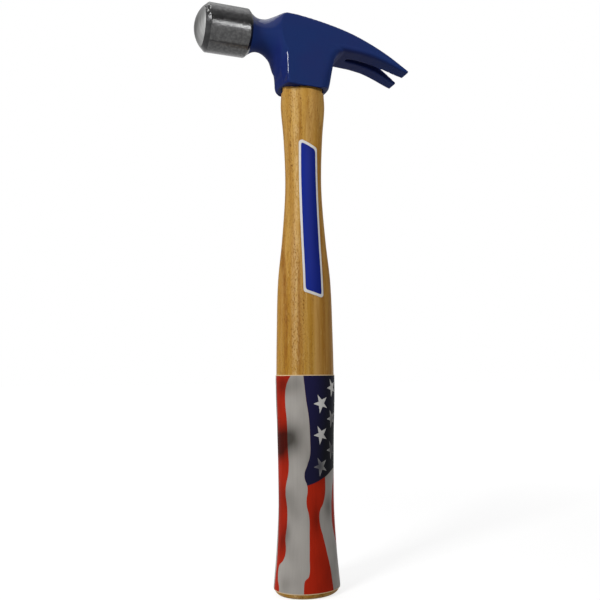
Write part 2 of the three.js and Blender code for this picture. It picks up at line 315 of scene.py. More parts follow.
def handle_skin():
    foot, top = HANDLE_WIDTHS[0][0], HANDLE_WIDTHS[-1][0]
    heights = [foot * (1 - math.cos(math.pi / 2 * i / 8)) for i in range(8)]
    heights += [foot + (top - foot) * i / 100 for i in range(101)]
    profile = [(0, 0, 0)] + [(skin_width(z), 0, z) for z in heights] + [(0, 0, top)]
    bm = turned(profile, "Z", (0, 0, 0), HANDLE_STEPS)
    pressed(bm)
    low = top - TENON_OVERLAP
    profile = [(0, 0, low), (TENON_FOOT, 0, low), (TENON_FOOT, 0, top)]
    profile += [(TENON_HEAD, 0, TENON_TOP), (0, 0, TENON_TOP)]
    tenon = turned(profile, "Z", (0, 0, 0), HANDLE_STEPS)
    bmesh.ops.scale(tenon, vec=(1, HANDLE_OVAL, 1), verts=tenon.verts)
    bm = combined(bm, tenon, "UNION")
    for centre, size in KERFS:
        bm = combined(bm, block(centre, size), "DIFFERENCE")
    return bm


fitted(handle_skin(), "handle_wood", lacquered_hickory(), "handle", crease=40)


# Wedges in the top of the tenon
# A sawn hardwood wedge fills the kerf, and two rolled steel wedges are driven across it.
# They stay as the solids are, and only get their finish here.
WEDGE_TAN = (0.33, 0.17, 0.06, 1)
WEDGE_BROWN = (0.16, 0.075, 0.028, 1)
WEDGE_GREY = (0.24, 0.235, 0.23, 1)
WEDGE_SCALE = (0.12, 0.1, 0.085, 1)


def wedge_wood():
    material, place = new_material("wedge_hardwood")
    fibre = place.noise(300, 1500, 40, detail=3.0)
    surface(place.node("BsdfPrincipled", (), {
        "Base Color": fibre.within(0.35, 0.7).tint(WEDGE_TAN, WEDGE_BROWN),
        "Roughness": 0.6 + fibre * 0.2,
        "Normal": place.node("Bump", (), {"Strength": 0.4, "Distance": 0.0002, "Height": fibre}),
    }))
    return material


def wedge_steel():
    material, place = new_material("wedge_steel")
    scale = place.noise(700, 700, 250, detail=4.0)
    surface(place.node("BsdfPrincipled", (), {
        "Base Color": scale.within(0.35, 0.7).tint(WEDGE_GREY, WEDGE_SCALE),
        "Metallic": 1.0,
        "Roughness": 0.38 + scale * 0.25,
        "Normal": place.node("Bump", (), {"Strength": 0.3, "Distance": 0.0001, "Height": scale}),
    }))
    return material


hardwood, rolled_steel = wedge_wood(), wedge_steel()
for node, finish in (
    ("wood_wedge", hardwood), ("steel_wedge_front", rolled_steel), ("steel_wedge_rear", rolled_steel),
):
    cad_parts[node].data.materials.clear()
    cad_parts[node].data.materials.append(finish)


# Painted part of the head
# One drop forging: walls round the eye, a waisted neck toward the poll, and two rip claws with a V slot.
# Dipped in gloss blue enamel, which rounds every edge a little and lies dull underneath. Its colour carries
# painted shade underneath, in the claw slot and on faces turned toward -X, and painted violet reflections
# along the top, at the front of the cheeks and on the prow.
HEAD_BASE = 255.6
HEAD_TOP = 294.4
POLL_AXIS = 284.8
CHEEK = 11.6
PROW_HALF = 6.0
PROW_DROP = 0.25
BEVEL_X = 11.95
REAR_CENTRE = 5.0
REAR_X = 13.8
REAR_LEAN = 2.4
CLAW_UNDER = 278.7
REAR_FILLET = 6.0
WALL_TOP = 283.0
FRONT_WALL = [
    (255.6, 12.9), (257.5, 13.1), (259.7, 13.4), (261.9, 13.7), (264, 14.05), (266.2, 14.4),
    (268.3, 15.0), (270.5, 15.7), (272.5, 16.6), (283.0, 16.6),
]
RIM_ROUND = 0.4
RIM_ROUND_FRONT = 1.0
RIM_RISE = 0.35
RIM_RISE_FRONT = 1.2
RIM_ARCH_FRONT = 3.0
RIM_SKEW = 2.0
RIM_ARCH_REAR = 3.0
CLAW_TOP = [
    (-12.6, 294.4), (-8.5, 294.35), (-5.8, 294.15), (1.4, 293.35), (8.3, 292.3), (14.7, 291.1),
    (20.4, 289.8), (25.5, 288.4), (29.8, 286.9), (34, 285.3), (37.8, 283.7), (41.5, 282),
    (45.1, 280.25), (48.3, 278.5), (51.3, 276.75), (54.3, 274.9), (56.8, 273.3), (58.1, 272.5),
]
CLAW_FLOOR = [
    (-12.6, 279), (21, 279), (31.4, 278.5), (38.9, 277.4), (44.4, 275.95), (49.4, 274.25),
    (54.1, 272.5), (58.1, 271.3),
]
CLAW_EDGE = 2.3
CLAW_BROW = 0.5
NECK_FLARE = [(-30.5, 10.95), (-29.2, 10.05), (-28.4, 9.5), (-27.5, 9.0), (-26.5, 8.62)]
NECK_SIDE = NECK_FLARE + [
    (-25.4, 8.38), (-24, 8.3), (-22.5, 8.48), (-21, 8.9), (-19.5, 9.5), (-18, 10.2), (-16.5, 10.95),
    (-15.2, 11.6), (-14, 12.2), (-11, 13.7),
]
NECK_TOP = NECK_FLARE + [
    (-25.4, 8.38), (-24, 8.3), (-22, 8.42), (-20.5, 8.8), (-19.4, 9.2), (-18.4, 9.5), (-17, 9.56),
    (-11, 9.56),
]
NECK_SQUARE = [
    (-30.5, 2.0), (-20.5, 2.0), (-18.4, 2.3), (-16.3, 3.5), (-15, 5.5), (-13.5, 9.0), (-11, 10.0),
]
NECK_FLOOR = NECK_FLARE + [
    (-25.4, 8.4), (-24.2, 8.4), (-23, 8.62), (-21.9, 9.0), (-20.25, 9.85), (-19, 10.85), (-17.9, 12.0),
    (-17.1, 13.0), (-16.4, 14.4), (-15.9, 16.0), (-15.4, 18.0), (-14.9, 20.0), (-13.5, 21.5), (-11, 21.5),
]
FACET_START = -20.8
FACET_FOOT = 271.8
FACET_TOP = (-16.3, 288.0)
FACET_FLANK = (-18.0, 9.3, 277.0)
EYE_FOOT = 10.9
EYE_HEAD = 12.15
EYE_DEPTH = 50
EYE_MIDDLE = 275
EYE_OVAL = 0.8
SLOT_ROOT_X = 24.6
SLOT_MOUTH_X = 58.9
SLOT_ROOT = 1.6
SLOT_MIDDLE_X = 45.0
SLOT_MIDDLE = 2.3
SLOT_MOUTH = 4.0
SLOT_PULL = 1.3
FORGING_GRAIN = 0.4
PAINT_BLUE = (0.007, 0.0215, 0.102, 1)
PAINT_VIOLET = (0.0115, 0.018, 0.094, 1)
PAINT_PROW_REFLECTION = (0.0125, 0.019, 0.088, 1)
PAINT_DEEP_SHADE = (0.005, 0.012, 0.1, 1)
PAINT_UNDERSIDE_SHADE = (0.008, 0.0135, 0.07, 1)
PAINT_SLOT_SHADE = (0.001, 0.004, 0.04, 1)


def along(table, at):
    """The value of a table of (place, value) pairs at a place, on straight lines between them."""
    places = [place for place, _ in table]
    after = min(max(bisect.bisect(places, at), 1), len(places) - 1)
    (p0, v0), (p1, v1) = table[after - 1], table[after]
    return v0 + (v1 - v0) * min(max((at - p0) / (p1 - p0), 0), 1)


def skin(rings):
    """A closed skin over a row of rings, in millimetres, that have as many points each."""
    bm = bmesh.new()
    hoops = []
    for ring in rings:
        points = [bm.verts.new(Vector(point) * MM) for point in ring]
        hoops.append([bm.edges.new(pair) for pair in zip(points, points[1:] + points[:1])])
    for low, high in zip(hoops, hoops[1:]):
        bmesh.ops.bridge_loops(bm, edges=low + high)
    for end in (hoops[0], hoops[-1]):
        bmesh.ops.edgeloop_fill(bm, edges=end)
    bmesh.ops.recalc_face_normals(bm, faces=bm.faces)
    return bm


def sheared(bm, point, normal):
    """Takes off what lies beyond a plane, and closes the cut."""
    geometry = bm.verts[:] + bm.edges[:] + bm.faces[:]
    cut = bmesh.ops.bisect_plane(
        bm, geom=geometry, plane_co=Vector(point) * MM, plane_no=normal, clear_outer=True
    )
    rim = [part for part in cut["geom_cut"] if isinstance(part, bmesh.types.BMEdge)]
    bmesh.ops.edgeloop_fill(bm, edges=rim)


def wall_ring(z, inset, corner):
    """Outline round the eye at a height: blunt prow, bevels, flat cheeks and a rounded rear."""
    front = along(FRONT_WALL, z) - inset * RIM_ROUND_FRONT
    cheek = CHEEK - inset * RIM_ROUND
    rise = min(max((z - HEAD_BASE) / (CLAW_UNDER - HEAD_BASE), 0), 1)
    bend = min(max((z - CLAW_UNDER + REAR_FILLET) / REAR_FILLET, 0), 0.98)
    rear = REAR_X - inset * RIM_ROUND + REAR_LEAN * rise + REAR_FILLET * (1 - math.sqrt(1 - bend * bend))
    square = 2 / (2.2 + 3.8 * rise * rise)
    edge = Vector((-BEVEL_X + inset * RIM_ROUND_FRONT, -cheek))
    prow = Vector((-front + PROW_DROP, -PROW_HALF))
    toward = (prow - edge).normalized() * corner
    side = [Vector((-front, 0)), Vector((-front + 0.27 * PROW_DROP, -PROW_HALF / 2)), prow]
    for i in range(5):
        t = i / 4
        side.append(edge + toward * (1 - t) ** 2 + Vector((corner, 0)) * t * t)
    for i in range(17):
        turn = math.pi / 2 * (i / 16 - 1)
        x = REAR_CENTRE + (rear - REAR_CENTRE) * math.cos(turn) ** square
        side.append(Vector((x, -cheek * abs(math.sin(turn)) ** square)))
    other = [Vector((point.x, -point.y)) for point in side[-2:0:-1]]
    return [(point.x, point.y, z) for point in side + other]


def eye_walls():
    rings = []
    for i in range(7):
        turn = math.pi / 2 * i / 6
        ring = []
        for x, y, z in wall_ring(HEAD_BASE, 1 - math.sin(turn), 1.6):
            front, rear = min(max((-x - 4) / 9, 0), 1), min(max((x - 4) / 10, 0), 1)
            skew = RIM_SKEW * y / CHEEK
            arch = (RIM_ARCH_FRONT + skew) * front ** 1.6 + RIM_ARCH_REAR * rear ** 1.6
            rise = RIM_RISE + (RIM_RISE_FRONT - RIM_RISE) * front
            ring.append((x, y, z + arch + rise * (1 - math.cos(turn))))
        rings.append(ring)
    foot = HEAD_BASE + RIM_RISE_FRONT + RIM_ARCH_FRONT + RIM_SKEW
    for i in range(17):
        rings.append(wall_ring(foot + (CLAW_UNDER - foot) * i / 16, 0, 0.4))
    rings.append(wall_ring(WALL_TOP, 0, 0.4))
    return skin(rings)


def claw_section(x):
    """Section across the cheeks or claws: square on top, with well rounded lower edges."""
    top, floor = along(CLAW_TOP, x), along(CLAW_FLOOR, x)
    edge = min(CLAW_EDGE, 0.42 * (top - floor))
    brow = min(CLAW_BROW, 0.2 * (top - floor))
    points = []
    for quarter, (side, z, radius) in enumerate((
        (1, top - brow, brow), (-1, top - brow, brow), (-1, floor + edge, edge), (1, floor + edge, edge),
    )):
        y = side * (CHEEK - radius)
        for i in range(6):
            turn = math.pi / 2 * (quarter + i / 5)
            points.append((x, y + radius * math.cos(turn), z + radius * math.sin(turn)))
    return points


def claws():
    start, tip = CLAW_TOP[0][0], CLAW_TOP[-1][0]
    return skin([claw_section(start + (tip - start) * i / 60) for i in range(61)])


def neck_section(x):
    """Section across the neck: round at the waist, squarer near the cheeks, deeper toward the prow."""
    side, top, floor = along(NECK_SIDE, x), along(NECK_TOP, x), along(NECK_FLOOR, x)
    square = 2 / along(NECK_SQUARE, x)
    ring = []
    for i in range(96):
        turn = 2 * math.pi * i / 96
        cos, sin = math.cos(turn), math.sin(turn)
        if sin > 0:
            y, z = side * math.copysign(abs(cos) ** square, cos), top * sin ** square
        else:
            y, z = side * cos, floor * sin
        ring.append((x, y, POLL_AXIS + z))
    return ring


def neck():
    start, middle, end = NECK_TOP[0][0], FACET_START, NECK_TOP[-1][0]
    front = skin([neck_section(start + (middle + 0.2 - start) * i / 40) for i in range(41)])
    rear = skin([neck_section(middle + (end - middle) * i / 40) for i in range(41)])
    sheared(rear, (0, 0, HEAD_TOP - 0.05), (0, 0, 1))
    for side in (1, -1):
        sheared(rear, (0, side * CHEEK, 0), (0, side, 0))
        foot = Vector((-BEVEL_X, side * CHEEK, FACET_FOOT))
        top = Vector((FACET_TOP[0], side * CHEEK, FACET_TOP[1]))
        flank = Vector((FACET_FLANK[0], side * FACET_FLANK[1], FACET_FLANK[2]))
        normal = (top - foot).cross(flank - foot)
        sheared(rear, foot, normal if normal.x < 0 else -normal)
    return combined(front, rear, "UNION")


def eye_hole():
    bm = bmesh.new()
    bmesh.ops.create_cone(
        bm, cap_ends=True, segments=64, radius1=EYE_FOOT * MM, radius2=EYE_HEAD * MM, depth=EYE_DEPTH * MM
    )
    bmesh.ops.scale(bm, vec=(1, EYE_OVAL, 1), verts=bm.verts)
    bmesh.ops.translate(bm, vec=(0, 0, EYE_MIDDLE * MM), verts=bm.verts)
    return bm


def claw_slot():
    rings = []
    for z, pull in ((255, 0), (272, 0), (296, SLOT_PULL)):
        root = SLOT_ROOT_X + 2 * pull
        side = [
            (root, SLOT_ROOT * 0.5), (root + 0.9, SLOT_ROOT), (SLOT_MIDDLE_X, SLOT_MIDDLE - pull * 0.5),
            (SLOT_MOUTH_X, SLOT_MOUTH - pull),
        ]
        rings.append([(x, -y, z) for x, y in side] + [(x, y, z) for x, y in reversed(side)])
    return skin(rings)


def forging_skin():
    bm = combined(combined(eye_walls(), neck(), "UNION"), claws(), "UNION")
    bm = combined(combined(bm, eye_hole(), "DIFFERENCE"), claw_slot(), "DIFFERENCE")
    mesh = bpy.data.meshes.new("forging")
    bm.to_mesh(mesh)
    bm.free()
    blank = bpy.data.objects.new("forging", mesh)
    bpy.context.scene.collection.objects.link(blank)
    regrain = blank.modifiers.new("regrain", "REMESH")
    regrain.mode = "VOXEL"
    regrain.voxel_size = FORGING_GRAIN * MM
    bpy.context.view_layer.update()
    bm = bmesh.new()
    bm.from_object(blank, bpy.context.evaluated_depsgraph_get())
    bpy.data.meshes.remove(mesh)
    for _ in range(4):
        bmesh.ops.smooth_vert(
            bm, verts=bm.verts, factor=0.5, use_axis_x=True, use_axis_y=True, use_axis_z=True
        )
    bmesh.ops.recalc_face_normals(bm, faces=bm.faces)
    return bm


def blue_enamel():
    material, place = new_material("blue_enamel")
    facing = place.node("TexCoord", (), (), "Normal")
    x = place.part(0)
    neck_side = 1 - x.within(-0.019, -0.013)
    down, ahead = 0 - facing.part(2), 0 - facing.part(0)
    # Painted shade: faces turned down get a darker blue, less so on the neck and toward the claw tips.
    under = down.within(0.5, 0.92) * (1 - neck_side * 0.6) * (1 - x.within(0.032, 0.05) * 0.6)
    matte = down.within(0.01, 0.07)
    # Painted shade: faces turned toward -X, the prow and bevels, get a deeper, darker blue.
    forward_shade = ahead.within(0.25, 0.9)
    # Painted reflection: a violet tint along the top of the cheeks and claws.
    crest_reflection = place.part(2).within(0.283, 0.2935)
    cloud = place.noise(45, 45, 45, detail=3.0)
    peel = place.noise(1100, 1100, 1100, detail=3.0)
    pits = place.noise(420, 420, 420, detail=4.0, roughness=0.6)
    tone = (cloud.within(0.4, 0.68) * 0.5 + crest_reflection * 0.4).tint(PAINT_BLUE, PAINT_VIOLET)
    tone = (forward_shade * 0.8).tint(tone, PAINT_DEEP_SHADE)
    # Painted reflection: the prow face below the facet line gets a lighter violet.
    prow = ahead.within(0.955, 0.985) * (1 - place.part(2).within(0.268, 0.274))
    tone = (prow * 0.8).tint(tone, PAINT_PROW_REFLECTION)
    # Painted shade: the upright walls of the claw slot are turned near black, and dulled.
    inner = 1 - place.maths("ABSOLUTE", place.part(1)).within(0.0046, 0.0054)
    upright = 1 - place.maths("ABSOLUTE", facing.part(2)).within(0.4, 0.75)
    shaded_slot_walls = upright * inner * x.within(0.0234, 0.0244)
    # Painted reflection: faces tilted up at the front of the cheeks get a violet tint, and are dulled.
    brow = facing.part(2).within(0.05, 0.3) * x.within(-0.0135, -0.0115)
    tone = (under * 0.93).tint(tone, PAINT_UNDERSIDE_SHADE)
    tone = (shaded_slot_walls * 0.95).tint(tone, PAINT_SLOT_SHADE)
    tone = (brow * 0.6).tint(tone, PAINT_VIOLET)
    matte = place.maths("MAXIMUM", place.maths("MAXIMUM", matte, shaded_slot_walls), brow * 0.9)
    relief = place.node(
        "Bump", (), {"Strength": 0.35, "Distance": 0.00012, "Height": peel * 0.35 + pits * neck_side}
    )
    gloss = place.node("BsdfPrincipled", (), {
        "Base Color": tone,
        "Roughness": 0.06 + pits * 0.07,
        "Specular IOR Level": 0.45,
        "Normal": relief,
    })
    dull = place.node("BsdfPrincipled", (), {
        "Base Color": tone,
        "Roughness": 0.6,
        "Specular IOR Level": 0.06,
        "Normal": relief,
    })
    surface(place.node("MixShader", (), {0: matte, 1: gloss, 2: dull}))
    return material


fitted(forging_skin(), "head_painted", blue_enamel(), "head")


# Bare poll of the head
# The striking end of the same forging, turned and ground after painting, so bare tool steel.
# The face is crowned and brushed, its rim is chamfered, and the rear slopes down to the painted neck.
FACE_X = -54.7
FACE_RIM = 10.0
FACE_CROWN = 3.8
POLL_FRONT = -52.2
POLL_REAR = -31.7
POLL_RADIUS = 12.3
SHOULDER_X = -30.0
SHOULDER_RADIUS = 10.65
STUB = [(-30.0, 7.0), (-24.5, 6.0), (-24.5, 0)]
STEEL_DARK = (0.062, 0.062, 0.063, 1)
STEEL_PALE = (0.16, 0.16, 0.158, 1)
STEEL_GLINT = (0.5, 0.5, 0.49, 1)
STEEL_FACE = (0.3, 0.3, 0.297, 1)
STEEL_BLACK = (0.018, 0.018, 0.019, 1)


def poll_skin():
    ball = (FACE_RIM ** 2 + FACE_CROWN ** 2) / (2 * FACE_CROWN)
    rim = math.asin(FACE_RIM / ball)
    side = []
    for i in range(13):
        turn = rim * i / 12
        side.append((FACE_X - FACE_CROWN + ball * (1 - math.cos(turn)), ball * math.sin(turn)))
    side += [(POLL_FRONT, POLL_RADIUS), (POLL_REAR, POLL_RADIUS), (SHOULDER_X, SHOULDER_RADIUS)] + STUB
    bm = turned([(x, 0, POLL_AXIS + r) for x, r in side], "X", (0, 0, POLL_AXIS), 128)
    sharp = math.radians(20)
    behind = (SHOULDER_X + 1) * MM
    rings = [edge for edge in bm.edges if edge.calc_face_angle(0) > sharp and edge.verts[0].co.x < behind]
    bmesh.ops.bevel(
        bm, geom=rings, offset=0.4 * MM, offset_type="OFFSET", affect="EDGES",
        segments=3, profile=0.5, material=-1,
    )
    return bm


def ground_steel():
    material, place = new_material("ground_steel")
    x = place.part(0)
    up = place.part(2) - POLL_AXIS * MM
    side = place.part(1)
    turn = place.maths("ARCTAN2", up, 0 - side)
    face = (0 - x).within(-FACE_X * MM - 0.00012, -FACE_X * MM + 0.00005)
    chamfer = (0 - x).within(-POLL_FRONT * MM - 0.0001, -POLL_FRONT * MM + 0.00015) * (1 - face)
    grit = place.noise(1300, 1300, 1300, detail=4.0, roughness=0.65)
    mottle = place.noise(700, 700, 700, detail=4.0, roughness=0.6)
    lathe = place.noise(2600, 90, 90, detail=3.0)
    brush = place.noise(90, 2600, 55, detail=3.0)
    tone = mottle.within(0.38, 0.7) * 0.4 + grit.within(0.5, 0.75) * 0.25
    tone = tone.tint(STEEL_DARK, STEEL_PALE)
    # Painted glints: pale flecks on the upper half of the chamfer, where the lamps catch it.
    fleck = chamfer * place.noise(800, 800, 800, detail=2.0).within(0.5, 0.62) * up.within(0.0005, 0.004)
    # The chamfer is darker steel, and its lower half darker still as painted shade.
    below = 1 - up.within(-0.0015, 0.0005)
    tone = (chamfer * (0.4 + below * 0.35)).tint(tone, STEEL_BLACK)
    tone = fleck.tint(tone, STEEL_GLINT)
    # A dark line along the poll, low on its -Y side.
    dark_line = 1 - place.maths("ABSOLUTE", turn + 0.98 + (mottle - 0.5) * 0.06).within(0.015, 0.06)
    dark_line = dark_line * (1 - chamfer) * (1 - face)
    tone = (dark_line * 0.55).tint(tone, STEEL_BLACK)
    tone = face.tint(tone, (brush.within(0.3, 0.7) * 0.5).tint(STEEL_FACE, STEEL_PALE))
    relief = place.node("Bump", (), {
        "Strength": 0.75,
        "Distance": 0.00016,
        "Height": grit * 0.5 + mottle * 0.7 + lathe * 0.3 * (1 - face) + brush * 0.4 * face + fleck * 1.4,
    })
    surface(place.node("BsdfPrincipled", (), {
        "Base Color": tone,
        "Metallic": 1.0,
        "Roughness": 0.17 + grit * 0.12 + face * 0.22,
        "Normal": relief,
    }))
    return material


fitted(poll_skin(), "head_poll", ground_steel(), "head", crease=40)


# Label on the handle
# A slanted vinyl sticker with rounded corners, printed blue with a pale border.
# It is pressed onto the lacquer of the side that faces -Y.
LABEL_LIFT = 0.1
LABEL_THICK = 0.2
LABEL_LEFT = -4.45
LABEL_RIGHT = 6.25
LABEL_FOOT_LEFT = 148.2
LABEL_FOOT_RIGHT = 145.0
LABEL_TOP_LEFT = 228.6
LABEL_TOP_RIGHT = 224.2
LABEL_TOP_INSET = 1.35
LABEL_TOP_SHIFT = 0.55
LABEL_CORNER = 1.5
LABEL_BORDER = 0.00097
LABEL_END_SHARE = 0.7
LABEL_BLUE = (0.0078, 0.0205, 0.222, 1)
LABEL_BLUE_DEEP = (0.007, 0.0125, 0.128, 1)
LABEL_PALE = (0.6, 0.59, 0.57, 1)
LABEL_GREY = (0.52, 0.51, 0.49, 1)


def label_sides():
    """The label's four corners, and a point and outward direction of each side, in X and Z."""
    corners = [
        Vector((LABEL_LEFT, LABEL_FOOT_LEFT)),
        Vector((LABEL_RIGHT, LABEL_FOOT_RIGHT)),
        Vector((LABEL_RIGHT - LABEL_TOP_INSET, LABEL_TOP_RIGHT)),
        Vector((LABEL_LEFT - LABEL_TOP_SHIFT, LABEL_TOP_LEFT)),
    ]
    sides = []
    for a, b in zip(corners, corners[1:] + corners[:1]):
        run = (b - a).normalized()
        sides.append((a, Vector((run.y, -run.x))))
    return corners, sides


def label_skin():
    heights = [141 + 1.5 * i for i in range(61)]
    profile = [(0, -(half_width(z) + LABEL_LIFT), z) for z in heights]
    turns = [math.radians(3 * i - 45) for i in range(36)]
    bm = swept(profile, "Z", (0, 0, 0), turns)
    bmesh.ops.scale(bm, vec=(1, HANDLE_OVAL, 1), verts=bm.verts)
    corners, sides = label_sides()
    cuts = list(sides)
    for corner, (_, before), (_, after) in zip(corners, sides[-1:] + sides[:-1], sides):
        middle = (before + after).normalized()
        heart = corner - middle * (LABEL_CORNER / middle.dot(after))
        for share in (0.2, 0.4, 0.6, 0.8):
            normal = before.lerp(after, share).normalized()
            cuts.append((heart + normal * LABEL_CORNER, normal))
    for point, normal in cuts:
        geometry = bm.verts[:] + bm.edges[:] + bm.faces[:]
        bmesh.ops.bisect_plane(
            bm, geom=geometry, clear_outer=True,
            plane_co=(point.x * MM, 0, point.y * MM), plane_no=(normal.x, 0, normal.y),
        )
    bmesh.ops.recalc_face_normals(bm, faces=bm.faces)
    if sum(face.normal.y for face in bm.faces) > 0:
        bmesh.ops.reverse_faces(bm, faces=bm.faces)
    bmesh.ops.solidify(bm, geom=bm.faces[:], thickness=-LABEL_THICK * MM)
    bmesh.ops.recalc_face_normals(bm, faces=bm.faces)
    return bm


def printed_vinyl():
    material, place = new_material("printed_vinyl")
    x, z = place.part(0), place.part(2)
    inside = None
    for point, normal in label_sides()[1]:
        share = LABEL_END_SHARE if abs(normal.y) > 0.5 else 1.0
        gap = ((point.x * MM - x) * normal.x + (point.y * MM - z) * normal.y) * share
        inside = gap if inside is None else place.maths("SMOOTH_MIN", inside, gap, 0.0018)
    ink = inside.within(LABEL_BORDER - 0.00008, LABEL_BORDER + 0.00008)
    cloud = place.noise(60, 60, 20, detail=2.0)
    speck = place.noise(2500, 2500, 2500, detail=2.0)
    # Painted shade: the blue darkens toward +X, mixed with a random cloud.
    deep = x.within(-0.004, 0.006) * 0.75 + cloud.within(0.4, 0.7) * 0.25
    blue = deep.tint(LABEL_BLUE, LABEL_BLUE_DEEP)
    pale = speck.within(0.4, 0.75).tint(LABEL_PALE, LABEL_GREY)
    relief = place.node("Bump", (), {"Strength": 0.12, "Distance": 0.0001, "Height": speck + ink * 0.4})
    surface(place.node("BsdfPrincipled", (), {
        "Base Color": ink.tint(pale, blue),
        "Roughness": 0.3 + cloud * 0.1,
        "Specular IOR Level": 0.03,
        "Normal": relief,
    }))
    return material


fitted(label_skin(), "handle_label", printed_vinyl(), "label", crease=50)


# Printed film on the grip
# A thin plastic tube, printed with waving stars and stripes and shrunk tight round the lower handle.
# Its cut edges are left clear of ink.
FILM_LIFT = 0.1
FILM_THICK = 0.25
FILM_FOOT = 2.7
FILM_TOP = 106.7
PRINT_TOP = 106.3
PRINT_FOOT = 3.1
STRIPE_EDGES = [
    [(0, -72), (5, -73), (9, -79), (14, -79), (18, -65), (22, -60), (28, -62), (34, -59), (42, -59),
     (50, -63.5), (61, -54), (72, -55.5), (84, -56), (94, -59), (100, -57), (106, -46)],
    [(0, -21.5), (6, -22), (9, -20.5), (11, -13.5), (20, -11.8), (30, -11.2), (38, -11.2), (45, -16.5),
     (52, -14), (58, -20), (63, -14), (68, -8.2), (75, -8), (85, -10), (94, -15), (106, -20)],
    [(0, 35), (8, 32.5), (14, 30), (21, 24), (29, 16.5), (35, 10.5), (40, 10.5), (44.5, 20), (49, 25),
     (57, 25), (75, 22), (106, 20)],
    [(0, 76), (14, 74), (22, 66), (28, 53), (33, 47), (40, 46), (46, 48), (52, 54), (58, 64), (75, 70),
     (106, 70)],
]
BACK_STRIPES = [90, 125, 160]
FAR_STRIPES = [-95, -130, -165]
CANTON_FLOOR = [
    (-30, 53), (-16, 53.2), (2, 54.4), (25, 56.8), (61, 60.2), (100, 57), (140, 55), (170, 55),
]
CANTON_END = 132
STAR_COLUMN = 31.0
STAR_ROW = 15.3
STAR_REACH = 4.9
STAR_WAIST = 0.309
STAR_LEAN = 0.35
DEGREE_LENGTH = 0.265
STAR_AT = (15.0, 92.6)
FLAG_RED = (0.385, 0.0195, 0.0065, 1)
FLAG_RED_DEEP = (0.025, 0.0035, 0.0022, 1)
FLAG_WHITE = (0.35, 0.33, 0.305, 1)
FLAG_BRIGHT = (0.48, 0.46, 0.43, 1)
FLAG_GREY = (0.024, 0.02, 0.016, 1)
FLAG_NAVY = (0.0115, 0.0105, 0.044, 1)
FLAG_BLACK = (0.0075, 0.008, 0.0115, 1)
FLAG_STAR = (0.55, 0.54, 0.52, 1)
FILM_CLEAR = (0.62, 0.47, 0.28, 1)
FOLDS = [
    (-78, 75.5, 42, 7.5, 0.9), (-84, 69, 22, 5, 0.6), (-44, 76.5, 18, 6.5, 0.38),
    (-28, 71, 16, 7, 0.15), (-66, 102, 22, 5, 0.6), (-34, 102, 14, 5, 0.25), (47, 85, 11, 7, 0.75),
    (2, 37, 10, 8, 0.5), (-40, 40, 22, 6, 0.12), (33, 42, 14, 6, 0.5), (-72, 26, 12, 6, 0.4),
    (-45, 22, 14, 5, 0.2), (-60, 48, 18, 5, 0.3), (50, 22, 10, 8, 0.2), (10, 62, 20, 6.5, 1.0),
    (50, 71, 17, 8, 1.0), (24, 12, 12, 5, 0.08), (-58, 31, 9, 5, 0.35), (-58, 7, 14, 4.5, 0.35),
    (150, 70, 60, 9, 0.55), (-125, 46, 50, 9, 0.5), (110, 30, 40, 9, 0.4), (-160, 92, 60, 8, 0.45),
]


def film_skin():
    heights = [FILM_FOOT + (FILM_TOP - FILM_FOOT) * (i / 80) ** 1.5 for i in range(81)]
    inner = [(skin_width(z) + FILM_LIFT, 0, z) for z in heights]
    outer = [(skin_width(z) + FILM_LIFT + FILM_THICK, 0, z) for z in reversed(heights)]
    bm = turned(inner + outer + inner[:1], "Z", (0, 0, 0), HANDLE_STEPS)
    bmesh.ops.scale(bm, vec=(1, HANDLE_OVAL, 1), verts=bm.verts)
    return bm


